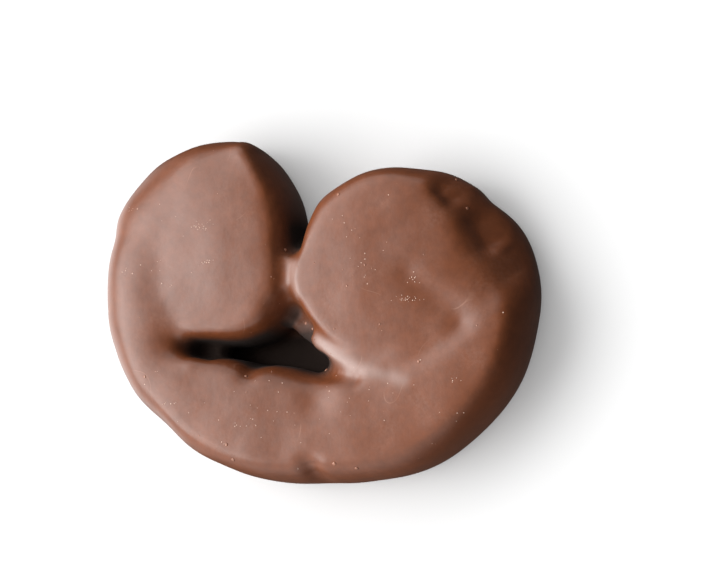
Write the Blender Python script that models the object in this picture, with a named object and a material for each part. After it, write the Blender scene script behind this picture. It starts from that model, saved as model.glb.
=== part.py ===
# A chocolate covered palmier: puff pastry rolled from both ends into two scrolls
# that a broad bow joins, all under one coat of milk chocolate.
# The lobes point along +Y and the coat's flat underside lies on Z = 0.
# Every size is in metres.

import math

import bpy
from mathutils import Vector

# Driving dimensions
SINK = 0.0014  # how far the pieces reach below the underside before it is cut flat
WAIST = 0.0060  # height at which the side walls stand furthest out
SCROLL_FULLNESS = 7.0  # exponent across a scroll, higher for a crisper edge
BOW_FULLNESS = 5.2  # the same across the bow
DOME = 0.0010  # how much lower a top is at its edge than in its middle
TOP_FULLNESS = 2.3  # exponent up a section above the waist
FOOT_FULLNESS = 3.6  # exponent down a section below the waist
COAT_CELL = 0.00145  # size of one face of the finished coat
COAT_PASSES = 4  # smoothing passes that let the chocolate run into the creases

# The two scrolls: where the side wall stands in plan, point by point round it, and the crown's height
LEFT_SCROLL = {
    "outline": [
        (-0.0163, 0.0303),
        (-0.0231, 0.0286),
        (-0.0297, 0.0244),
        (-0.0350, 0.0172),
        (-0.0362, 0.0070),
        (-0.0315, -0.0010),
        (-0.0250, -0.0050),
        (-0.0180, -0.0053),
        (-0.0110, -0.0046),
        (-0.0062, -0.0016),
        (-0.0046, 0.0050),
        (-0.0042, 0.0130),
        (-0.0054, 0.0214),
        (-0.0094, 0.0278),
    ],
    "crown": 0.0157,
}
RIGHT_SCROLL = {
    "outline": [
        (0.0142, 0.0244),
        (0.0082, 0.0234),
        (0.0032, 0.0198),
        (-0.0004, 0.0152),
        (-0.0029, 0.0104),
        (-0.0040, 0.0058),
        (-0.0037, 0.0012),
        (-0.0014, -0.0030),
        (0.0022, -0.0074),
        (0.0080, -0.0100),
        (0.0150, -0.0100),
        (0.0222, -0.0074),
        (0.0278, -0.0020),
        (0.0312, 0.0050),
        (0.0318, 0.0130),
        (0.0279, 0.0208),
        (0.0212, 0.0242),
    ],
    "crown": 0.0158,
}

# Where the coat ran together: the web between the scrolls, the tongue beside it, and the
# chocolate that closes the foot of the slit
WEB = {
    "outline": [(-0.0040, 0.0150), (-0.0070, 0.0085), (-0.0040, 0.0020), (-0.0010, 0.0085)],
    "crown": 0.0095,
}
TONGUE = {
    "outline": [(-0.0024, 0.0004), (-0.0064, -0.0026), (-0.0024, -0.0056), (0.0016, -0.0026)],
    "crown": 0.0080,
}
SLIT_FLOOR = {
    "outline": [
        (-0.0050, 0.0110),
        (-0.0130, 0.0010),
        (-0.0280, -0.0050),
        (-0.0150, -0.0130),
        (0.0000, -0.0130),
        (0.0060, -0.0060),
        (0.0010, 0.0040),
    ],
    "crown": 0.0024,
}

# The bow's stations, from the left scroll round to the right one:
# x, y, half width and height of its crest
BOW = [
    (-0.0262, 0.0178, 0.0064, 0.0142),
    (-0.0302, 0.0098, 0.0082, 0.0146),
    (-0.0314, 0.0010, 0.0075, 0.0147),
    (-0.0308, -0.0050, 0.0063, 0.0147),
    (-0.0288, -0.0097, 0.0055, 0.0147),
    (-0.0243, -0.0130, 0.0069, 0.0148),
    (-0.0176, -0.0162, 0.0088, 0.0150),
    (-0.0078, -0.0189, 0.0099, 0.0152),
    (0.0039, -0.0196, 0.0102, 0.0153),
    (0.0148, -0.0182, 0.0103, 0.0153),
    (0.0224, -0.0150, 0.0082, 0.0152),
    (0.0278, -0.0094, 0.0071, 0.0150),
    (0.0314, -0.0024, 0.0059, 0.0148),
    (0.0324, 0.0036, 0.0061, 0.0146),
    (0.0300, 0.0098, 0.0067, 0.0144),
    (0.0256, 0.0138, 0.0060, 0.0140),
]

OUTLINE_STEPS = 5  # points on a scroll's outline between two that are given
SCROLL_LEVELS = 20
BOW_STEPS = 7  # cross sections between two stations
BOW_SIDES = 28

MILK_CHOCOLATE = (0.19, 0.056, 0.019, 1.0)


def clear_scene():
    for item in list(bpy.data.objects):
        bpy.data.objects.remove(item, do_unlink=True)


def chocolate():
    material = bpy.data.materials.new("milk_chocolate")
    material.use_nodes = True
    shader = material.node_tree.nodes["Principled BSDF"]
    shader.inputs["Base Color"].default_value = MILK_CHOCOLATE
    shader.inputs["Roughness"].default_value = 0.38
    shader.inputs["Metallic"].default_value = 0.0
    material.diffuse_color = MILK_CHOCOLATE
    return material


def signed_power(value, exponent):
    return math.copysign(abs(value) ** exponent, value)


def section_point(turn, half_width, crest, fullness):
    # One point of a cross section: a superellipse, fuller below the waist than above it.
    # Returns the sideways reach and the height.
    upper = math.sin(turn) > 0
    rounding = TOP_FULLNESS if upper else FOOT_FULLNESS
    half_height = crest - WAIST if upper else WAIST + SINK
    share = signed_power(math.cos(turn), 2 / fullness)
    height = WAIST + half_height * signed_power(math.sin(turn), 2 / rounding)
    if upper:
        height -= DOME * share**2 * math.sin(turn)
    return half_width * share, height


def loft(name, rings, caps=None):
    # Joins closed rings of points, in order, into one closed mesh. caps holds the two
    # end points that close it, or None for flat ends.
    sides = len(rings[0])
    points = [point for ring in rings for point in ring]
    faces = []
    for row in range(len(rings) - 1):
        for side in range(sides):
            near = row * sides + side
            beside = row * sides + (side + 1) % sides
            faces.append((near, beside, beside + sides, near + sides))
    last = (len(rings) - 1) * sides
    if caps:
        first_cap = len(points)
        points += caps
        for side in range(sides):
            beside = (side + 1) % sides
            faces.append((first_cap, beside, side))
            faces.append((first_cap + 1, last + side, last + beside))
    else:
        faces.append(tuple(reversed(range(sides))))
        faces.append(tuple(range(last, last + sides)))
    mesh = bpy.data.meshes.new(name)
    mesh.from_pydata([tuple(point) for point in points], [], faces)
    mesh.validate()
    piece = bpy.data.objects.new(name, mesh)
    bpy.context.scene.collection.objects.link(piece)
    return piece


def scroll(name, spec):
    # A domed disc with the outline in spec: the outline drawn in towards its middle by the
    # section's reach, ring above ring.
    outline = blend_stations(spec["outline"] + spec["outline"][:1], OUTLINE_STEPS, True)[:-1]
    middle_x = sum(x for x, y in outline) / len(outline)
    middle_y = sum(y for x, y in outline) / len(outline)
    rings = []
    for level in range(1, SCROLL_LEVELS):
        turn = math.pi * (level / SCROLL_LEVELS - 0.5)
        share, height = section_point(turn, 1.0, spec["crown"], SCROLL_FULLNESS)
        ring = []
        for x, y in outline:
            across = middle_x + (x - middle_x) * share
            along = middle_y + (y - middle_y) * share
            ring.append(Vector((across, along, height)))
        rings.append(ring)
    caps = [Vector((middle_x, middle_y, -SINK)), Vector((middle_x, middle_y, spec["crown"]))]
    return loft(name, rings, caps)


def blend_stations(stations, steps, closed=False):
    # A Catmull-Rom curve through the stations, which carries a width and a height too.
    before_first = stations[-2] if closed else stations[0]
    after_last = stations[1] if closed else stations[-1]
    padded = [before_first] + stations + [after_last]
    blended = []
    for index in range(len(stations) - 1):
        before, start, end, after = padded[index : index + 4]
        for step in range(steps):
            t = step / steps
            blended.append(
                [
                    0.5
                    * (
                        2 * p1
                        + (p2 - p0) * t
                        + (2 * p0 - 5 * p1 + 4 * p2 - p3) * t**2
                        + (3 * p1 - p0 - 3 * p2 + p3) * t**3
                    )
                    for p0, p1, p2, p3 in zip(before, start, end, after)
                ]
            )
    blended.append(list(stations[-1]))
    return blended


def bow(name):
    # The bow: the section carried along the path, square to it.
    path = blend_stations(BOW, BOW_STEPS)
    rings = []
    for index, (x, y, half_width, crest) in enumerate(path):
        ahead = path[min(index + 1, len(path) - 1)]
        behind = path[max(index - 1, 0)]
        along = Vector((ahead[0] - behind[0], ahead[1] - behind[1], 0)).normalized()
        outward = Vector((along.y, -along.x, 0))
        ring = []
        for side in range(BOW_SIDES):
            turn = math.tau * (side + 0.5) / BOW_SIDES
            reach, height = section_point(turn, half_width, crest, BOW_FULLNESS)
            ring.append(Vector((x, y, height)) + outward * reach)
        rings.append(ring)
    return loft(name, rings)


def apply_modifiers(body):
    graph = bpy.context.evaluated_depsgraph_get()
    finished = bpy.data.meshes.new_from_object(body.evaluated_get(graph))
    body.modifiers.clear()
    body.data = finished


def fuse(body, others):
    # Joins the pieces with one Boolean union, then drops the pieces that went into it.
    pieces = bpy.data.collections.new("pieces")
    bpy.context.scene.collection.children.link(pieces)
    for piece in others:
        pieces.objects.link(piece)
    union = body.modifiers.new("union", "BOOLEAN")
    union.operation = "UNION"
    union.operand_type = "COLLECTION"
    union.collection = pieces
    union.solver = "EXACT"
    apply_modifiers(body)
    for piece in others:
        bpy.data.objects.remove(piece, do_unlink=True)
    bpy.data.collections.remove(pieces)


def run_coat(body):
    # The coat: even faces over the fused pieces, smoothed so that the creases fill.
    skin = body.modifiers.new("skin", "REMESH")
    skin.mode = "VOXEL"
    skin.voxel_size = COAT_CELL
    skin.adaptivity = 0.0
    run = body.modifiers.new("run", "SMOOTH")
    run.factor = 0.5
    run.iterations = COAT_PASSES
    apply_modifiers(body)


def cut_base(body):
    # The flat underside, where the palmier lay while the chocolate set.
    slab_depth = 0.01
    slab_side = 0.2
    bpy.ops.mesh.primitive_cube_add(size=1, location=(0, 0, -slab_depth / 2))
    slab = bpy.context.object
    slab.scale = (slab_side, slab_side, slab_depth)
    cut = body.modifiers.new("flat_base", "BOOLEAN")
    cut.operation = "DIFFERENCE"
    cut.object = slab
    cut.solver = "EXACT"
    apply_modifiers(body)
    bpy.data.objects.remove(slab, do_unlink=True)


def centre_on_base(body):
    # Puts the middle of the footprint at the origin.
    corners = [vertex.co for vertex in body.data.vertices]
    middle = Vector(
        (
            (min(c.x for c in corners) + max(c.x for c in corners)) / 2,
            (min(c.y for c in corners) + max(c.y for c in corners)) / 2,
            min(c.z for c in corners),
        )
    )
    for vertex in body.data.vertices:
        vertex.co -= middle


def main():
    clear_scene()
    palmier = scroll("palmier", LEFT_SCROLL)
    others = [
        scroll("right_scroll", RIGHT_SCROLL),
        bow("bow"),
        scroll("web", WEB),
        scroll("tongue", TONGUE),
        scroll("slit_floor", SLIT_FLOOR),
    ]
    fuse(palmier, others)
    run_coat(palmier)
    cut_base(palmier)
    centre_on_base(palmier)
    palmier.data.materials.clear()
    palmier.data.materials.append(chocolate())
    palmier.data.shade_smooth()
    palmier.data.set_sharp_from_angle(angle=math.radians(50))


main()
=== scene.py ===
# A palmier in its coat of milk chocolate: two scrolls of puff pastry side by side, joined by a
# broad bow. Shapes are worked out in millimetres and go into their meshes in metres.
import math

import bpy
import numpy as np
from mathutils import Matrix, Vector


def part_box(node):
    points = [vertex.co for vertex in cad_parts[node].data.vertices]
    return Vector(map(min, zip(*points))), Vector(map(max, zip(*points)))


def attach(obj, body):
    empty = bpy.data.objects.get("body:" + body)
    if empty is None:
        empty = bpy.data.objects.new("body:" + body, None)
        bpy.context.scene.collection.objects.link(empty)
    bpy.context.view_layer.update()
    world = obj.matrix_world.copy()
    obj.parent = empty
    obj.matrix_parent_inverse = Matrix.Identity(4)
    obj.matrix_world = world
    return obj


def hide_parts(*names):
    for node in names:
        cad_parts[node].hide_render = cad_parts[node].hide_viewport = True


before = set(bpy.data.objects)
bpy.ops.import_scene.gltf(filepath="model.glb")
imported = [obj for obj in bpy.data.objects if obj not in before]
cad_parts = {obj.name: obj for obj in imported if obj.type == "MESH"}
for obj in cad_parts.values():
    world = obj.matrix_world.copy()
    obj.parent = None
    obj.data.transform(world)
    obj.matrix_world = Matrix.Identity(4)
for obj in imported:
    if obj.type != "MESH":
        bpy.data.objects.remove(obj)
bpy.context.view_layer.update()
mm = 0.001
palmierLow, palmierHigh = (np.array(corner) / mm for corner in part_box("palmier"))
print("frame loaded, palmier is", (palmierHigh - palmierLow).round(1), "mm")


# Sections and curves

crossSection = {
    "sink": 1.4,  # how far the pieces reach below the underside before they are pressed flat
    "waist": 5.5,  # height at which the walls stand furthest out
    "footEdge": 2.4,  # how far a wall draws in again below the waist
    "round": 2.3,  # 2 rounds an edge as a circle does, more makes it squarer
}


def wallCurve(levels=25):
    # Up a wall from foot to top, as a superellipse: how far it stands in, as a share of its
    # edge's width, is 1 - cos(turn) to the power 2 / round, and its height runs from -1 at the
    # foot through 0 at the waist to 1 at the top, as sin(turn) to the same power.
    turn = math.pi * (np.arange(levels) / (levels - 1) - 0.5)
    power = 2 / crossSection["round"]
    inward = 1 - np.maximum(np.cos(turn), 0) ** power
    rise = np.sign(turn) * np.abs(np.sin(turn)) ** power
    return inward[:, None], rise[:, None]


def wallHeight(rise, top):
    waist = crossSection["waist"]
    return waist + np.where(rise > 0, top - waist, waist + crossSection["sink"]) * rise


def throughPoints(stations, steps, closed):
    # A Catmull-Rom curve: between two stations it is a cubic in t, which leaves each of them
    # in the direction from the one before it to the one after it.
    stations = np.array(stations, float)
    if closed:
        padded = np.concatenate([stations[-1:], stations, stations[:2]])
    else:
        padded = np.concatenate([stations[:1], stations, stations[-1:]])
    spans = len(padded) - 3
    before, start, end, after = (padded[k : k + spans, None] for k in range(4))
    t = (np.arange(steps) / steps)[None, :, None]
    curve = 0.5 * (
        2 * start
        + (end - before) * t
        + (2 * before - 5 * start + 4 * end - after) * t**2
        + (3 * start - before - 3 * end + after) * t**3
    )
    curve = curve.reshape(-1, stations.shape[1])
    return curve if closed else np.concatenate([curve, stations[-1:]])


def closedShell(rings, firstEnd, lastEnd):
    # Quads between neighbouring rings of a grid, and a fan of triangles to a point at each end.
    rows, columns = rings.shape[:2]
    index = np.arange(rows * columns).reshape(rows, columns)
    beside = np.roll(index, -1, axis=1)
    quads = np.stack([index[:-1], beside[:-1], beside[1:], index[1:]], axis=-1).reshape(-1, 4)
    first = np.full(columns, rows * columns)
    fans = np.concatenate(
        [
            np.stack([first, beside[0], index[0]], axis=-1),
            np.stack([first + 1, index[-1], beside[-1]], axis=-1),
        ]
    )
    points = np.concatenate([rings.reshape(-1, 3), [firstEnd, lastEnd]])
    return points, quads, fans


# The pieces under the coat

# Outlines at the waist: x, y, width of the rounded edge there, and how far the top falls away
# just before that edge. A dome is how much lower the top is at its edge than in its middle, and
# a lean is its slope to the right and to the back.
leftScroll = {
    "outline": [
        (-16.4, 31.0, 4.0, 0.3), (-24.2, 30.2, 5.5, 0.3), (-31.9, 26.5, 6.5, 0.2),
        (-38.9, 17.8, 7.0, 0.0), (-37.0, 7.0, 7.0, 0.0), (-31.5, -1.0, 5.0, 0.0),
        (-25.0, -4.6, 2.6, 0.2), (-18.0, -5.2, 2.4, 0.3), (-11.0, -4.9, 2.6, 0.5),
        (-6.2, -2.2, 3.4, 0.7), (-2.6, 3.8, 5.2, 1.1), (-3.0, 12.0, 4.6, 1.2),
        (-5.0, 20.4, 3.4, 0.7), (-8.1, 26.4, 3.0, 0.4), (-12.0, 29.7, 2.0, 0.2),
    ],
    "crown": 15.2,
    "dome": 1.2,
    "lean": (0.085, 0.0),
}
rightScroll = {
    "outline": [
        (13.6, 24.4, 3.6, 0.5), (8.2, 23.2, 3.8, 0.8), (2.8, 20.0, 3.8, 1.1),
        (0.2, 15.4, 3.4, 1.2), (-1.6, 10.6, 3.0, 1.3), (-3.2, 6.0, 2.6, 1.3),
        (-2.8, 2.2, 2.6, 1.1), (-0.2, -1.8, 2.6, 0.8), (3.0, -5.2, 2.4, 0.4),
        (6.8, -8.2, 2.6, 0.2), (13.4, -11.6, 4.6, 0.0), (23.6, -11.0, 6.0, 0.0),
        (29.8, -6.0, 5.0, 0.0), (32.6, 2.0, 5.0, 0.0), (33.2, 10.0, 6.0, 0.8),
        (31.2, 17.9, 6.0, 0.8), (26.2, 22.3, 5.0, 0.6), (19.4, 23.9, 3.6, 0.5),
    ],
    "crown": 15.7,
    "dome": 0.7,
    "lean": (-0.025, 0.0),
}
web = {
    "outline": [(-2.8, 9.8, 0.9, 0), (-3.7, 6.4, 0.9, 0), (-2.8, 2.8, 0.9, 0), (0.0, 6.2, 0.9, 0)],
    "crown": 14.3,
    "dome": 0.4,
    "lean": (0.0, 0.0),
}
slitFloor = {
    "outline": [
        (-5.0, 11.0, 2, 0), (-13.0, 1.0, 2, 0), (-28.0, -5.0, 2, 0), (-15.0, -13.0, 2, 0),
        (0.0, -13.0, 2, 0), (6.0, -6.0, 2, 0), (1.0, 4.0, 2, 0),
    ],
    "crown": 1.0,
    "dome": 0.4,
    "lean": (0.0, 0.0),
}
# Swept pieces: x, y, half width, height of the crest, widths of the outer and inner edges.
# The bow runs from the left scroll round to the right one.
bow = [
    (-28.2, 19.4, 7.6, 13.0, 7.0, 4.0),
    (-31.2, 10.4, 8.6, 13.8, 7.0, 4.0),
    (-32.2, 1.0, 7.9, 14.0, 6.8, 3.0),
    (-31.4, -5.0, 6.8, 14.2, 5.8, 2.0),
    (-29.1, -9.9, 6.2, 14.4, 4.8, 2.0),
    (-24.4, -13.2, 7.0, 14.7, 4.0, 2.6),
    (-17.6, -16.3, 9.0, 15.0, 4.0, 3.6),
    (-7.8, -19.2, 9.8, 15.2, 3.4, 4.4),
    (3.9, -20.2, 9.3, 15.3, 3.4, 4.8),
    (14.8, -17.8, 10.6, 15.3, 3.4, 6.0),
    (22.4, -14.2, 9.7, 15.3, 3.4, 5.5),
    (27.8, -8.4, 9.4, 15.2, 3.6, 4.0),
    (30.8, -2.0, 8.4, 15.1, 3.8, 3.0),
    (31.7, 3.6, 7.9, 14.4, 5.6, 3.0),
    (29.4, 9.4, 8.0, 13.0, 6.0, 3.0),
    (25.0, 13.8, 6.8, 12.0, 5.0, 3.0),
]
# Chocolate that has run down the valley between the right scroll and the bow, towards the slit
valley = [
    (1.2, -4.3, 1.9, 12.6, 1.4, 0.9),
    (3.3, -6.4, 2.3, 13.5, 1.6, 1.2),
    (6.0, -8.4, 2.5, 14.1, 1.8, 1.4),
    (8.9, -9.8, 2.7, 14.4, 2.0, 1.6),
    (12.4, -10.8, 3.0, 14.5, 2.4, 2.0),
    (16.6, -11.2, 3.2, 14.4, 2.6, 2.0),
    (21.0, -9.6, 3.2, 14.5, 2.0, 2.0),
    (26.0, -6.4, 3.0, 14.6, 2.0, 2.0),
]
# A drip under the rim of the right scroll, which bridges the inner end of the slit
drip = [
    (-4.6, -0.6, 1.1, 8.0, 0.8, 0.8),
    (-2.4, -2.4, 1.5, 9.2, 1.1, 1.1),
    (-0.4, -4.0, 1.5, 9.6, 1.1, 1.1),
    (1.4, -5.6, 1.2, 9.2, 0.9, 0.9),
]
bowDome = 0.7


def domedDisc(spec, steps=12, levels=9):
    # From the outline inwards along the arms to its middle: first the wall, then a top that
    # falls off with the square of its share of the arm, and with the sixth power near its edge.
    outline = throughPoints(spec["outline"], steps, closed=True)
    edge = outline[:, 2]
    middle = outline[:, :2].mean(axis=0)
    arm = outline[:, :2] - middle
    reach = np.linalg.norm(arm, axis=1)
    inward, rise = wallCurve()
    wall = reach - inward * np.where(rise > 0, edge, crossSection["footEdge"])
    share = 1 - np.arange(1, levels)[:, None] / levels
    radius = np.concatenate([wall, (reach - edge) * share])
    rise = np.concatenate([rise, np.ones_like(share)])
    share = radius / reach
    plan = middle + share[..., None] * arm
    fall = spec["dome"] * share**2 + outline[:, 3] * share**6
    top = spec["crown"] - fall + (plan - middle) @ spec["lean"]
    rings = np.concatenate([plan, wallHeight(rise, top)[..., None]], axis=-1)
    return closedShell(rings, (*middle, -crossSection["sink"]), (*middle, spec["crown"]))


def sweptPiece(stations, steps=16, levels=9):
    # A section carried along the path, square to it: up the outer wall, over the top and down
    # the inner wall.
    path = throughPoints(stations, steps, closed=False)
    along = np.gradient(path[:, :2], axis=0)
    along /= np.linalg.norm(along, axis=1, keepdims=True)
    outward = np.stack([along[:, 1], -along[:, 0]], axis=-1)
    half, crest, outer, inner = (path[:, k] for k in range(2, 6))
    inward, rise = wallCurve()
    foot = crossSection["footEdge"] * np.minimum(half / 6, 1)  # less on narrow pieces
    outerWall = half - inward * np.where(rise > 0, outer, foot)
    innerWall = inward * np.where(rise > 0, inner, foot) - half
    share = np.arange(1, levels)[:, None] / levels
    over = outerWall[-1] + (innerWall[-1] - outerWall[-1]) * share
    offset = np.concatenate([outerWall, over, innerWall[::-1]]).T
    rise = np.concatenate([rise, np.ones_like(share), rise[::-1]]).T
    top = crest[:, None] - bowDome * (offset / half[:, None]) ** 2
    plan = path[:, None, :2] + outward[:, None] * offset[..., None]
    rings = np.concatenate([plan, wallHeight(rise, top)[..., None]], axis=-1)
    return closedShell(rings, rings[0].mean(axis=0), rings[-1].mean(axis=0))


def joinShells(name, shells):
    # One mesh that holds every shell, each shell's faces counted on from the points before it.
    points, faces, start = [], [], 0
    for shellPoints, quads, fans in shells:
        points.append(shellPoints)
        faces += (quads + start).tolist() + (fans + start).tolist()
        start += len(shellPoints)
    mesh = bpy.data.meshes.new(name)
    mesh.from_pydata((np.concatenate(points) * mm).tolist(), [], faces)
    piece = bpy.data.objects.new(name, mesh)
    bpy.context.scene.collection.objects.link(piece)
    return piece


# The coat: one even skin over all the pieces

coat = {
    "cell": 0.42,  # size of one face
    "coarseCell": 0.55,
    "evenPasses": 8,
    "fillRadius": 1.8,  # of the hollows where chocolate has run into a crease
    # Where creases stay sharper: a line, how far the effect reaches and the radius there
    "sharper": [
        ([(-24.0, -5.4), (-14.0, -6.6), (-2.0, -6.4)], 5.0, 0.5),
        ([(-2.4, 13.0), (-2.0, 18.0), (-1.0, 24.0)], 3.0, 0.35),
        ([(-3.2, 2.6), (-3.4, 10.0)], 2.4, 0.7),
        ([(0.0, -4.0), (3.0, -8.6), (7.6, -11.5)], 2.4, 0.8),
    ],
    # Where they are smoothed away: a line, how far the effect reaches and how many passes
    "softer": [
        ([(-29.5, 23.5), (-32.0, 16.0), (-32.5, 7.0), (-31.0, 0.0), (-28.0, -4.0)], 4.0, 240),
        ([(20.0, -9.6), (26.0, -7.0), (30.0, -2.0), (31.5, 4.0)], 4.0, 200),
        ([(31.0, 8.0), (27.0, 15.0)], 3.0, 80),
        ([(10.5, -11.8), (14.0, -12.0), (19.0, -10.6)], 3.0, 120),
    ],
}


def nearLine(points, line, reach):
    # A bell over the distance in plan from a line through the stations: exp(-(distance/reach)^2).
    line = np.array(line, float)
    start = line[:-1]
    step = np.diff(line, axis=0)
    offset = points[:, None, :2] - start
    share = np.clip((offset * step).sum(axis=2) / (step**2).sum(axis=1), 0, 1)
    distance = np.linalg.norm(offset - share[..., None] * step, axis=2).min(axis=1)
    return np.exp(-((distance / reach) ** 2))


def fillRadius(points):
    radius = np.full(len(points), coat["fillRadius"])
    for line, reach, sharper in coat["sharper"]:
        radius += (sharper - radius) * nearLine(points, line, reach)
    return radius[:, None]


def fuseShells(piece, cell):
    skin = piece.modifiers.new("skin", "REMESH")
    skin.mode = "VOXEL"
    skin.voxel_size = cell * mm
    skin.adaptivity = 0.0
    graph = bpy.context.evaluated_depsgraph_get()
    fused = bpy.data.meshes.new_from_object(piece.evaluated_get(graph))
    piece.modifiers.clear()
    piece.data = fused


class Skin:
    # The coat's points as one array in millimetres, with its edges and its four-sided faces.
    def __init__(self, mesh):
        self.mesh = mesh
        self.points = self.read(mesh.vertices, "co", 3, np.float32).astype(float) / mm
        self.edges = self.read(mesh.edges, "vertices", 2, np.int32)
        self.faces = self.read(mesh.loops, "vertex_index", 1, np.int32).reshape(-1, 4)
        self.neighbours = np.bincount(self.edges.ravel(), minlength=len(self.points))[:, None]

    def read(self, items, field, width, kind):
        flat = np.empty(len(items) * width, kind)
        items.foreach_get(field, flat)
        return flat.reshape(-1, width)

    def gather(self, index, values):
        # Adds up the values at each index, one axis at a time.
        count = len(self.points)
        return np.stack([np.bincount(index, column, count) for column in values.T], axis=-1)

    def pull(self):
        # From each point to the average of its neighbours.
        a, b = self.edges.T
        total = self.gather(a, self.points[b]) + self.gather(b, self.points[a])
        return total / self.neighbours - self.points

    def normals(self):
        # The cross product of each face's diagonals, added up at its corners.
        a, b, c, d = (self.points[self.faces[:, k]] for k in range(4))
        face = np.cross(c - a, d - b)
        total = sum(self.gather(self.faces[:, k], face) for k in range(4))
        return total / np.maximum(np.linalg.norm(total, axis=1, keepdims=True), 1e-9)

    def even(self, passes):
        # Each step of smoothing is followed by a slightly longer one back, so that the skin
        # loses its unevenness and keeps its size.
        for step in range(passes):
            self.points += 0.5 * self.pull()
            self.points -= 0.52 * self.pull()

    def swell(self, amount, steps=4):
        for step in range(steps):
            self.points += self.normals() * amount / steps

    def write(self):
        self.mesh.vertices.foreach_set("co", (self.points * mm).astype(np.float32).ravel())
        self.mesh.update()


def pressFoot(skin):
    # Squeezes the lowest millimetres into the space above the floor, in proportion, and flattens
    # what is low enough and faces down steeply enough.
    squeezedTo, flatBelow, steepest = 1.2, 0.5, -0.75
    sink = crossSection["sink"]
    height = skin.points[:, 2]
    squeezed = (height + sink) / (squeezedTo + sink) * squeezedTo
    height = np.where(height < squeezedTo, squeezed, height)
    underside = (skin.normals()[:, 2] < steepest) & (height < flatBelow)
    skin.points[:, 2] = np.where(underside, 0, np.maximum(height, 0))


def fitBox(skin):
    # Stretches the coat by the little that it still differs from the frame's box.
    low = skin.points.min(axis=0)
    high = skin.points.max(axis=0)
    skin.points = palmierLow + (skin.points - low) * (palmierHigh - palmierLow) / (high - low)


def soften(skin, line, reach, passes):
    # Each point moves towards the average of its neighbours, most of all near the line. The lower
    # part of the walls stays as it is.
    lowest = crossSection["waist"] + 3
    weight = 0.5 * nearLine(skin.points, line, reach)[:, None]
    weight *= skin.points[:, 2:] > lowest
    for step in range(passes):
        skin.points += weight * skin.pull()


def reskin(piece, cell, passes):
    fuseShells(piece, cell)
    skin = Skin(piece.data)
    skin.even(passes)
    return skin


# Marks in the coat: a line in plan, how far to either side it reaches, and how high it stands

marks = [
    ([(25.6, 19.3), (27.0, 18.0)], 2.1, -1.6),  # dents in the right scroll's shoulder
    ([(31.2, 13.6), (32.8, 10.2)], 2.2, -1.3),
    ([(33.4, 5.0), (34.0, 1.0)], 2.4, -0.3),  # shallow hollow below them
    ([(29.6, 20.2), (33.0, 17.2), (35.4, 13.2), (35.8, 10.6), (34.4, 8.8)], 1.0, 0.5),  # rim
    ([(2.0, -9.0), (4.7, -10.9), (7.6, -12.0), (9.4, -12.5)], 1.5, -0.7),  # beside the fillet
    ([(28.6, -3.4), (27.4, -1.6), (25.0, 0.4), (22.0, 2.2), (19.6, 4.4)], 2.4, -0.32),  # spiral
    ([(16.5, -11.4), (19.0, -10.4), (22.5, -9.0), (26.0, -7.0), (28.4, -4.8)], 1.9, -0.25),  # crease
    ([(-24.8, 19.3), (-27.1, 14.2), (-28.0, 7.6), (-28.4, 4.6)], 3.0, -0.12),  # left valley
    ([(1.3, -27.6), (1.3, -29.4)], 1.9, -1.2),  # dimple in the outer rim
    ([(2.6, -12.2), (2.6, -16.6)], 3.4, -0.45),  # soft hollow in the bow
    ([(-10.6, -8.8), (-10.2, -10.8)], 1.6, -0.8),  # bite in the slit's lower lip
    ([(-18.5, -6.9), (-21.5, -6.2)], 1.3, -0.8),  # the slit's shallow end
    ([(-6.0, -9.6), (-3.4, -9.4)], 1.8, 0.4),  # bumps on the lower lip
    ([(-21.0, -8.6), (-15.0, -8.8)], 1.6, 0.3),
    ([(-12.2, 27.8), (-9.8, 25.2), (-7.4, 21.2)], 1.2, 0.15),  # ridge below the peak
    ([(-11.9, 29.6), (-10.9, 28.8)], 1.4, 0.5),  # the peak
]


# A flat slope on the right scroll's shoulder: a point on it, the way it faces, the middle of the
# part that it takes off, and how far that reaches
shoulder = {
    "through": (29.8, 11.0, 14.5),
    "towards": (0.72, 0.37, 0.59),
    "middle": (33.0, 10.0),
    "reach": 14.0,
    "blend": 1.0,
}


def shave(skin, spec):
    # Points above the slope go down to it. The height above it goes through the softened ramp
    # blend * log(1 + exp(height / blend)). All of it is taken within half the reach and none
    # beyond the reach, and it fades out over the lowest 4 mm.
    facing = np.array(spec["towards"]) / np.linalg.norm(spec["towards"])
    above = (skin.points - spec["through"]) @ facing
    excess = spec["blend"] * np.logaddexp(0, above / spec["blend"])
    away = np.linalg.norm(skin.points[:, :2] - spec["middle"], axis=1) / spec["reach"]
    share = np.clip(2 - 2 * away, 0, 1) * np.clip(skin.points[:, 2] / 4, 0, 1)
    skin.points -= facing * (excess * share)[:, None]


# Painted shade in the slit and the gap between the scrolls, darkening and dulling the chocolate:
# a line in plan, how far it reaches, and the heights at which the effect begins and is full
paintedShadeLines = [
    ([(-24.0, -6.0), (-16.0, -6.4), (-8.0, -6.8), (1.0, -7.0)], 4.2, 13.0, 9.5),
    ([(-3.2, 11.0), (-1.6, 15.0), (0.4, 19.0)], 2.4, 14.2, 10.0),
    ([(-5.0, -1.0), (-3.0, 2.4)], 2.0, 12.0, 8.0),
    ([(-3.2, 2.6), (-3.4, 10.0)], 1.2, 12.0, 9.0),
]


# Painted sheen: pale grey on the fillets, standing in for their highlight, painted on so that it
# shows in any light: a line in plan, how far it reaches, and its strength
paintedSheenLines = [
    ([(2.4, -6.2), (5.9, -8.8), (9.4, -10.7)], 1.3, 0.52),
    ([(9.4, -10.7), (15.9, -12.4), (18.6, -13.4)], 1.2, 0.38),
    ([(-1.1, 2.2), (-1.7, 4.8), (-1.6, 7.4)], 0.9, 0.38),
]


def paintedSheenStrength(points):
    # At each point, the strongest of the painted sheen lines.
    each = [nearLine(points, line, reach) * strength for line, reach, strength in paintedSheenLines]
    return np.max(each, axis=0)


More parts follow.
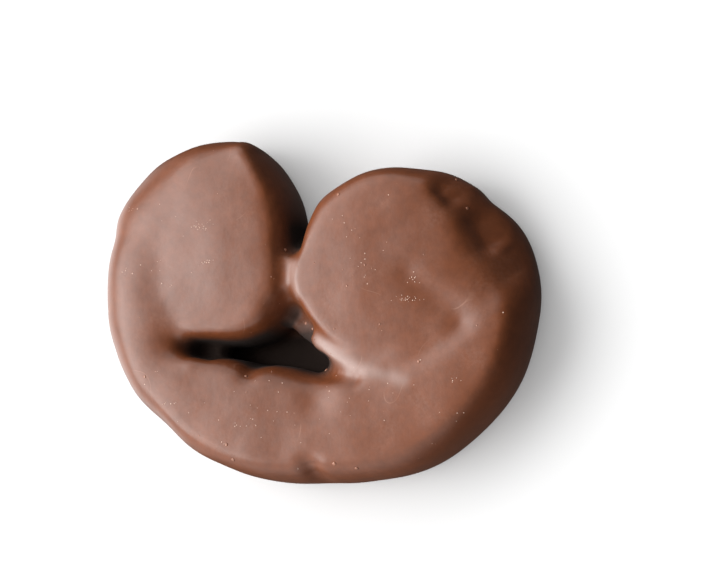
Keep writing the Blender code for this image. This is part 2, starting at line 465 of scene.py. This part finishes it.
def paintedShadeShare(points):
    # How much painted shade each point gets: the depth below the shallow height as a share s of the
    # way to the deep one, smoothed as s * s * (3 - 2 * s), times a bell round the line that is flat
    # near its middle.
    deepest = np.zeros(len(points))
    for line, reach, shallow, deep in paintedShadeLines:
        share = np.clip((shallow - points[:, 2]) / (shallow - deep), 0, 1)
        near = np.clip(1.6 * nearLine(points, line, reach), 0, 1)
        deepest = np.maximum(deepest, near * share * share * (3 - 2 * share))
    return deepest


def press(skin, marks):
    # Along the normal by the sum of the marks' bells, fading out down the walls: all of it
    # above 11.2 mm, none of it below 3.2 mm.
    normals = skin.normals()
    height = sum(nearLine(skin.points, line, reach) * rise for line, reach, rise in marks)
    upwards = np.clip(skin.points[:, 2] / 8 - 0.4, 0, 1)
    skin.points += normals * (height * upwards)[:, None]


# Slow waves all over the coat: how many, their lengths and their height for each mm of length
ripples = {"seed": 7, "count": 26, "lengths": (6.0, 24.0), "height": 0.0014}


def ripple(skin):
    # The sum of sine waves, each in a direction, with a length and a phase of its own. They
    # fade out over the lowest 3 mm.
    draw = np.random.default_rng(ripples["seed"])
    shortest, longest = ripples["lengths"]
    length = shortest * (longest / shortest) ** draw.random(ripples["count"])
    heading = draw.normal(size=(ripples["count"], 3)) * (1, 1, 0.5)
    heading /= np.linalg.norm(heading, axis=1, keepdims=True)
    phase = draw.random(ripples["count"]) * math.tau
    waves = np.sin(skin.points @ (heading * math.tau / length[:, None]).T + phase)
    height = waves @ (length * ripples["height"])
    skin.points += skin.normals() * (height * np.clip(skin.points[:, 2] / 3, 0, 1))[:, None]


def buildCoat():
    # The pieces are fused, swollen by the fill radius, fused again and shrunk by as much, which
    # rounds every crease and leaves the rest where it was.
    shells = [domedDisc(spec) for spec in (leftScroll, rightScroll, web, slitFloor)]
    shells += [sweptPiece(stations) for stations in (bow, valley, drip)]
    piece = joinShells("chocolate_coat", shells)
    skin = reskin(piece, coat["coarseCell"], coat["evenPasses"])
    skin.swell(fillRadius(skin.points))
    skin.write()
    skin = reskin(piece, coat["coarseCell"], coat["evenPasses"])
    skin.swell(-fillRadius(skin.points))
    skin.write()
    skin = reskin(piece, coat["cell"], coat["evenPasses"])
    print("coat fused,", len(skin.points), "points")
    for line, reach, passes in coat["softer"]:
        soften(skin, line, reach, passes)
    shave(skin, shoulder)
    press(skin, marks)
    ripple(skin)
    # Painted shade for the slit and the gap between the scrolls, and painted sheen for the fillets
    paintedShade = paintedShadeShare(skin.points)
    paintedSheen = paintedSheenStrength(skin.points)
    pressFoot(skin)
    fitBox(skin)
    skin.write()
    # The painted shade, and the painted sheen kept out of it, are stored on the coat's points
    for name, values in (("paintedShade", paintedShade), ("paintedSheen", paintedSheen * (1 - paintedShade))):
        attribute = piece.data.attributes.new(name, "FLOAT", "POINT")
        attribute.data.foreach_set("value", values.astype(np.float32))
    piece.data.shade_smooth()
    return piece


palmier = buildCoat()
print("coat shaped,", len(palmier.data.polygons), "faces")


# Finishes

chocolate = {
    "colour": (0.146, 0.0415, 0.0142, 1),
    # painted shade in the slit and the gap between the scrolls
    "paintedShadeColour": (0.020, 0.008, 0.004, 1),
    "hazeColour": (0.23, 0.10, 0.062, 1),
    "speckColour": (0.42, 0.22, 0.15, 1),
    # painted sheen on the fillets
    "paintedSheenColour": (0.35, 0.25, 0.22, 1),
    "roughness": 0.35,
    "hazeRoughness": 0.3,  # what full haze adds
    "scratchRoughness": 0.2,
    # dulls the sheen where the shade is painted
    "paintedShadeRoughness": 0.9,
    "clouds": (24.0, 0.16),  # size in mm and strength of the changes in its colour
    "flecks": (1.5, 0.13),
    "haze": (7.0, 0.27),
    "specks": (1.9, 0.085, 0.30),  # spacing and size in mm, and the share of them that shows
    "scratches": (15.0, 0.22),
    "grain": (0.34, 0.000009),  # size in mm, and height in metres
    "swells": (2.6, 0.00005),
}
sugar = {"colour": (0.62, 0.42, 0.33, 1), "roughness": 0.45, "flecks": (0.2, 0.2)}


def join(links, value, socket):
    # Links one socket to another, or gives the second a plain value.
    if isinstance(value, bpy.types.NodeSocket):
        links.new(value, socket)
    else:
        socket.default_value = value


def blend(nodes, links, share, first, second, kind="RGBA"):
    # A Mix node from the first to the second by the share.
    mix = nodes.new("ShaderNodeMix")
    mix.data_type = kind
    sockets = {"RGBA": ("A_Color", "B_Color"), "FLOAT": ("A_Float", "B_Float")}[kind]
    inputs = {socket.identifier: socket for socket in mix.inputs}
    for name, value in zip(("Factor_Float",) + sockets, (share, first, second)):
        join(links, value, inputs[name])
    outputs = {socket.identifier: socket for socket in mix.outputs}
    return outputs["Result_Color" if kind == "RGBA" else "Result_Float"]


def reckon(nodes, links, operation, first, second=0.0, third=0.0):
    node = nodes.new("ShaderNodeMath")
    node.operation = operation
    for value, socket in zip((first, second, third), node.inputs):
        join(links, value, socket)
    return node.outputs["Value"]


def ramp(nodes, links, value, start, end):
    # From 0 at the start to 1 at the end, smoothly.
    node = nodes.new("ShaderNodeMapRange")
    node.interpolation_type = "SMOOTHSTEP"
    for socket, number in zip(("Value", "From Min", "From Max"), (value, start, end)):
        join(links, number, node.inputs[socket])
    return node.outputs["Result"]


def noise(nodes, links, place, size, detail):
    # Noise whose grains are about size millimetres across, for a place in metres.
    node = nodes.new("ShaderNodeTexNoise")
    join(links, place, node.inputs["Vector"])
    join(links, reckon(nodes, links, "DIVIDE", 1 / mm, size), node.inputs["Scale"])
    node.inputs["Detail"].default_value = detail
    return node.outputs["Fac"]


def effect(name, inputs, output, build):
    # A node group with a place and named numbers going in, and one mask or height coming out.
    tree = bpy.data.node_groups.new(name, "ShaderNodeTree")
    tree.interface.new_socket("Place", in_out="INPUT", socket_type="NodeSocketVector")
    for label in inputs:
        tree.interface.new_socket(label, in_out="INPUT", socket_type="NodeSocketFloat")
    tree.interface.new_socket(output, in_out="OUTPUT", socket_type="NodeSocketFloat")
    incoming = tree.nodes.new("NodeGroupInput")
    outgoing = tree.nodes.new("NodeGroupOutput")
    values = [incoming.outputs[label] for label in ["Place"] + inputs]
    tree.links.new(build(tree.nodes, tree.links, *values), outgoing.inputs[output])
    return tree


def cloudMask(nodes, links, place, size, strength):
    # 1 plus the strength times noise between -1 and 1.
    swing = reckon(nodes, links, "MULTIPLY_ADD", noise(nodes, links, place, size, 3.0), 4.0, -2.0)
    return reckon(nodes, links, "MULTIPLY_ADD", swing, strength, 1.0)


def hazeMask(nodes, links, place, size, strength):
    # Patches broken up by grain of half a millimetre.
    patches = ramp(nodes, links, noise(nodes, links, place, size, 4.0), 0.45, 0.75)
    grain = ramp(nodes, links, noise(nodes, links, place, 0.5, 2.0), 0.25, 0.75)
    return reckon(nodes, links, "MULTIPLY", reckon(nodes, links, "MULTIPLY", patches, grain), strength)


def speckMask(nodes, links, place, spacing, size, share):
    # Dots round the middles of random cells, of which only a share show.
    cells = nodes.new("ShaderNodeTexVoronoi")
    join(links, place, cells.inputs["Vector"])
    join(links, reckon(nodes, links, "DIVIDE", 1 / mm, spacing), cells.inputs["Scale"])
    edge = reckon(nodes, links, "DIVIDE", size, spacing)
    inner = reckon(nodes, links, "MULTIPLY", edge, 0.5)
    outside = ramp(nodes, links, cells.outputs["Distance"], inner, edge)
    dots = reckon(nodes, links, "SUBTRACT", 1.0, outside)
    shown = reckon(nodes, links, "LESS_THAN", cells.outputs["Color"], share)
    return reckon(nodes, links, "MULTIPLY", dots, shown)


def scratchMask(nodes, links, place, size, strength):
    # Hairlines where noise crosses its middle value, in a few patches of about 6.5 mm only.
    field = noise(nodes, links, place, size, 1.0)
    apart = reckon(nodes, links, "ABSOLUTE", reckon(nodes, links, "SUBTRACT", field, 0.5))
    lines = reckon(nodes, links, "SUBTRACT", 1.0, ramp(nodes, links, apart, 0.0006, 0.0022))
    patches = ramp(nodes, links, noise(nodes, links, place, 6.5, 1.0), 0.58, 0.66)
    thin = reckon(nodes, links, "MULTIPLY", lines, patches)
    return reckon(nodes, links, "MULTIPLY", thin, strength)


def reliefHeight(nodes, links, place, size):
    return noise(nodes, links, place, size, 2.0)


effects = {
    "clouds": effect("clouds", ["Size", "Strength"], "Factor", cloudMask),
    "haze": effect("haze", ["Size", "Strength"], "Mask", hazeMask),
    "specks": effect("specks", ["Spacing", "Size", "Share"], "Mask", speckMask),
    "scratches": effect("scratches", ["Size", "Strength"], "Mask", scratchMask),
    "relief": effect("relief", ["Size"], "Height", reliefHeight),
}


def useEffect(nodes, links, name, *numbers):
    # Puts an effect into a material, on Object coordinates, with values of its own.
    node = nodes.new("ShaderNodeGroup")
    node.node_tree = effects[name]
    coordinates = nodes.new("ShaderNodeTexCoord")
    links.new(coordinates.outputs["Object"], node.inputs["Place"])
    for socket, number in zip(list(node.inputs)[1:], numbers):
        socket.default_value = number
    return node.outputs[0]


def shaded(nodes, links, colour, factor):
    # The colour times the factor.
    scale = nodes.new("ShaderNodeVectorMath")
    scale.operation = "SCALE"
    if isinstance(colour, bpy.types.NodeSocket):
        links.new(colour, scale.inputs[0])
    else:
        scale.inputs[0].default_value = colour[:3]
    links.new(factor, scale.inputs["Scale"])
    return scale.outputs["Vector"]


def relief(nodes, links, size, height, beneath=None):
    bump = nodes.new("ShaderNodeBump")
    bump.inputs["Distance"].default_value = height
    links.new(useEffect(nodes, links, "relief", size), bump.inputs["Height"])
    if beneath:
        links.new(beneath, bump.inputs["Normal"])
    return bump.outputs["Normal"]


def stored(nodes, name):
    # The value that the coat carries under this name, or 0 on other pieces.
    attribute = nodes.new("ShaderNodeAttribute")
    attribute.attribute_name = name
    return attribute.outputs["Fac"]


def newMaterial(name):
    material = bpy.data.materials.new(name)
    material.use_nodes = True
    nodes, links = material.node_tree.nodes, material.node_tree.links
    return material, nodes, links, nodes["Principled BSDF"]


def milkChocolate(name, spec):
    material, nodes, links, shader = newMaterial(name)
    # Painted shade: darkens and dulls the slit and the gap between the scrolls
    deep = stored(nodes, "paintedShade")
    clouds = useEffect(nodes, links, "clouds", *spec["clouds"])
    flecks = useEffect(nodes, links, "clouds", *spec["flecks"])
    haze = useEffect(nodes, links, "haze", *spec["haze"])
    specks = useEffect(nodes, links, "specks", *spec["specks"])
    scratches = useEffect(nodes, links, "scratches", *spec["scratches"])
    colour = shaded(nodes, links, shaded(nodes, links, spec["colour"], clouds), flecks)
    colour = blend(nodes, links, haze, colour, spec["hazeColour"])
    colour = blend(nodes, links, scratches, colour, spec["speckColour"])
    colour = blend(nodes, links, specks, colour, spec["speckColour"])
    # Painted sheen on the fillets, as pale grey
    colour = blend(nodes, links, stored(nodes, "paintedSheen"), colour, spec["paintedSheenColour"])
    # Painted shade in the slit and between the scrolls
    colour = blend(nodes, links, deep, colour, spec["paintedShadeColour"])
    links.new(colour, shader.inputs["Base Color"])
    dull = reckon(nodes, links, "MULTIPLY_ADD", haze, spec["hazeRoughness"], spec["roughness"])
    dull = reckon(nodes, links, "MULTIPLY_ADD", scratches, spec["scratchRoughness"], dull)
    dull = blend(nodes, links, deep, dull, spec["paintedShadeRoughness"], "FLOAT")
    links.new(dull, shader.inputs["Roughness"])
    swells = relief(nodes, links, *spec["swells"])
    links.new(relief(nodes, links, *spec["grain"], swells), shader.inputs["Normal"])
    return material


def paleSugar(spec):
    material, nodes, links, shader = newMaterial("pale_sugar")
    flecks = useEffect(nodes, links, "clouds", *spec["flecks"])
    links.new(shaded(nodes, links, spec["colour"], flecks), shader.inputs["Base Color"])
    shader.inputs["Roughness"].default_value = spec["roughness"]
    return material


# Small beads of chocolate and crumbs of sugar, half sunk in the coat

beads = {
    # x, y and radius of those that stand out
    "single": [
        (2.3, -10.9, 0.42), (-10.1, -12.1, 0.3), (-3.5, 9.4, 0.34), (28.3, 15.0, 0.3),
        (25.9, 20.3, 0.3), (20.9, -10.8, 0.26), (-13.2, -23.7, 0.3), (-12.3, -26.2, 0.34),
        (6.0, -27.3, 0.34), (9.6, -28.1, 0.34), (-1.0, -2.9, 0.3), (0.4, -4.0, 0.26),
        (6.8, 18.0, 0.3), (11.8, 5.6, 0.2), (8.6, 2.2, 0.2), (-28.6, -11.6, 0.26),
    ],
    # x, y, spread along x and along y, and how many
    "clusters": [(-2.0, -2.0, 34.0, 24.0, 36)],
    "radius": (0.08, 0.2),
    "lift": 0.4,
    "seed": 3,
}
crumbs = {
    "single": [(-31.1, 18.0, 0.13), (-31.4, 6.5, 0.13), (35.2, -3.2, 0.13), (21.2, -10.6, 0.12)],
    "clusters": [
        (-17.5, 14.0, 3.0, 1.0, 18), (-17.4, 7.6, 1.4, 0.7, 8), (-32.6, 18.3, 0.9, 0.8, 4),
        (-32.7, 7.0, 0.9, 0.8, 4), (11.7, 4.3, 2.2, 2.4, 6), (19.8, 3.0, 1.4, 1.2, 10),
        (19.2, -0.4, 2.4, 0.5, 22), (26.8, -14.2, 1.0, 0.6, 5), (-24.0, -16.4, 2.2, 0.4, 6),
        (-10.0, -20.0, 9.0, 4.0, 14), (12.0, 10.0, 8.0, 7.0, 12), (-26.0, 10.0, 5.0, 9.0, 12),
        (0.0, -18.0, 34.0, 8.0, 40),
    ],
    "radius": (0.055, 0.11),
    "lift": 0.7,
    "seed": 5,
}


def ball(rows=5, around=9):
    # A unit ball from the lowest ring to the highest: (cos a cos b, sin a cos b, sin b).
    climb = (np.arange(1, rows + 1) / (rows + 1) - 0.5)[:, None] * math.pi
    turn = np.arange(around)[None, :] * math.tau / around
    rings = np.stack(
        [np.cos(turn) * np.cos(climb), np.sin(turn) * np.cos(climb), np.sin(climb) + 0 * turn], axis=-1
    )
    return closedShell(rings, (0, 0, -1), (0, 0, 1))


def sprinkle(name, spec, skin):
    # Each bead is a ball, flattened along the coat's normal at the point nearest to its place.
    draw = np.random.default_rng(spec["seed"])
    places = [np.array(spec["single"])]
    smallest, largest = spec["radius"]
    for x, y, spreadX, spreadY, count in spec["clusters"]:
        around = draw.normal((x, y), (spreadX / 2, spreadY / 2), (count, 2))
        radius = smallest * (largest / smallest) ** draw.random((count, 1))
        places.append(np.concatenate([around, radius], axis=1))
    normals = skin.normals()
    steepest, lowest, furthest = 0.45, 8, 0.5
    upper = (normals[:, 2] > steepest) & (skin.points[:, 2] > lowest)
    points, normals = skin.points[upper], normals[upper]
    unit, quads, fans = ball()
    shells = []
    for x, y, radius in np.concatenate(places):
        away = np.hypot(points[:, 0] - x, points[:, 1] - y)
        nearest = away.argmin()
        if away[nearest] < furthest:  # so none lies beyond the edge of the coat
            up = normals[nearest]
            side = np.cross((0, 1, 0), up)
            side /= np.linalg.norm(side)
            axes = np.stack([side, np.cross(up, side), up * spec["lift"]])
            slope = (points[nearest] - (x, y, 0)) @ up / up[2]  # height of the plane there
            shells.append(((x, y, slope) + unit @ axes * radius, quads, fans))
    piece = joinShells(name, shells)
    piece.data.shade_smooth()
    print(name, "sprinkled,", len(shells), "of them")
    return piece


def finish(piece, material, *replaced):
    piece.data.materials.clear()
    piece.data.materials.append(material)
    if replaced:
        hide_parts(*replaced)
    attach(piece, "root")


skin = Skin(palmier.data)
finish(palmier, milkChocolate("milk_chocolate", chocolate), "palmier")
# A glossier copy of the milk chocolate for the beads, its colour made lighter as a painted highlight
glossyHighlitChocolate = milkChocolate(
    "glossy_chocolate_painted_highlight", {**chocolate, "colour": (0.27, 0.115, 0.07, 1), "roughness": 0.24}
)
finish(sprinkle("chocolate_beads", beads, skin), glossyHighlitChocolate)
finish(sprinkle("sugar_crumbs", crumbs, skin), paleSugar(sugar))


# Floor, light and camera

photoView = {
    "turn": math.radians(19),  # how far the camera stands to the right
    "lean": math.radians(8),  # how far it stands towards the bow
    "across": 123.0,  # millimetres of the palmier's plane that the picture's width takes in
    "aside": (7.8, 3.25),  # how far the picture's middle lies right of and above the palmier's
    "distance": 420,
}


def viewAxes(turn, lean):
    back = Vector((math.sin(turn) * math.cos(lean), -math.sin(lean), math.cos(turn) * math.cos(lean)))
    up = (Vector((0, 1, 0)) - back * back.y).normalized()
    return up.cross(back), up, back


def placeCamera(spec):
    right, up, back = viewAxes(spec["turn"], spec["lean"])
    lens = bpy.data.cameras.new("camera")
    lens.sensor_width = 36
    lens.lens = lens.sensor_width * spec["distance"] / spec["across"]
    camera = bpy.data.objects.new("camera", lens)
    middle = Vector((palmierLow + palmierHigh) / 2)
    aim = middle + right * spec["aside"][0] + up * spec["aside"][1]
    place = (aim + back * spec["distance"]) * mm
    camera.matrix_world = Matrix.Translation(place) @ Matrix((right, up, back)).transposed().to_4x4()
    bpy.context.scene.collection.objects.link(camera)
    bpy.context.scene.camera = camera


def paleFloor():
    # Three metres across, a tenth of a millimetre below the palmier.
    bpy.ops.mesh.primitive_plane_add(size=3, location=(0, 0, -0.0001))
    floor = bpy.context.object
    floor.name = "floor"
    material = bpy.data.materials.new("white_paper")
    material.use_nodes = True
    shader = material.node_tree.nodes["Principled BSDF"]
    shader.inputs["Base Color"].default_value = (0.56, 0.56, 0.56, 1)
    shader.inputs["Roughness"].default_value = 0.8
    shader.inputs["Emission Color"].default_value = (1, 1, 1, 1)
    shader.inputs["Emission Strength"].default_value = 0.2  # keeps the shadow pale
    floor.data.materials.append(material)
    floor.visible_diffuse = False  # so that it throws no light back up at the walls
    floor.visible_glossy = False


# The room's light, as a sum of soft glows: where each comes from, the cosine at which it starts
# and the one at which it is full, and its strength
studio = {
    "ambient": 0.07,
    "glows": [
        {"towards": (-0.75, 0.05, 0.66), "from": 0.1, "to": 1.0, "strength": 0.35},
        {"towards": (-0.64, 0.28, 0.71), "from": 0.88, "to": 0.97, "strength": 3.0},
        {"towards": (-0.72, -0.12, 0.69), "from": 0.88, "to": 0.97, "strength": 3.0},
        {"towards": (-0.77, -0.38, 0.51), "from": 0.92, "to": 0.985, "strength": 3.2},
        {"towards": (-0.86, 0.12, 0.50), "from": 0.93, "to": 0.99, "strength": 3.0},
        {"towards": (-0.95, 0.05, 0.25), "from": 0.80, "to": 0.98, "strength": 0.5},
        {"towards": (-0.90, 0.05, -0.42), "from": 0.8, "to": 0.97, "strength": 2.2},
        {"towards": (-0.30, 0.80, 0.52), "from": 0.80, "to": 0.97, "strength": 1.6},
        {"towards": (-0.35, -0.85, 0.35), "from": 0.3, "to": 1.0, "strength": 1.4},
    ],
}


def surroundings(spec):
    world = bpy.data.worlds.new("studio")
    world.use_nodes = True
    bpy.context.scene.world = world
    nodes, links = world.node_tree.nodes, world.node_tree.links
    place = nodes.new("ShaderNodeTexCoord")
    total = nodes.new("ShaderNodeValue").outputs["Value"]
    total.default_value = spec["ambient"]
    for glow in spec["glows"]:
        towards = nodes.new("ShaderNodeVectorMath")
        towards.operation = "DOT_PRODUCT"
        towards.inputs[1].default_value = Vector(glow["towards"]).normalized()
        fade = nodes.new("ShaderNodeMapRange")
        fade.interpolation_type = "SMOOTHSTEP"
        fade.inputs["From Min"].default_value = glow["from"]
        fade.inputs["From Max"].default_value = glow["to"]
        fade.inputs["To Max"].default_value = glow["strength"]
        added = nodes.new("ShaderNodeMath")
        links.new(place.outputs["Generated"], towards.inputs[0])
        links.new(towards.outputs["Value"], fade.inputs["Value"])
        links.new(fade.outputs["Result"], added.inputs[0])
        links.new(total, added.inputs[1])
        total = added.outputs["Value"]
    nodes["Background"].inputs["Color"].default_value = (1, 1, 1, 1)
    links.new(total, nodes["Background"].inputs["Strength"])


placeCamera(photoView)
paleFloor()
surroundings(studio)
bpy.context.scene.view_settings.view_transform = "Standard"
print("stage set")
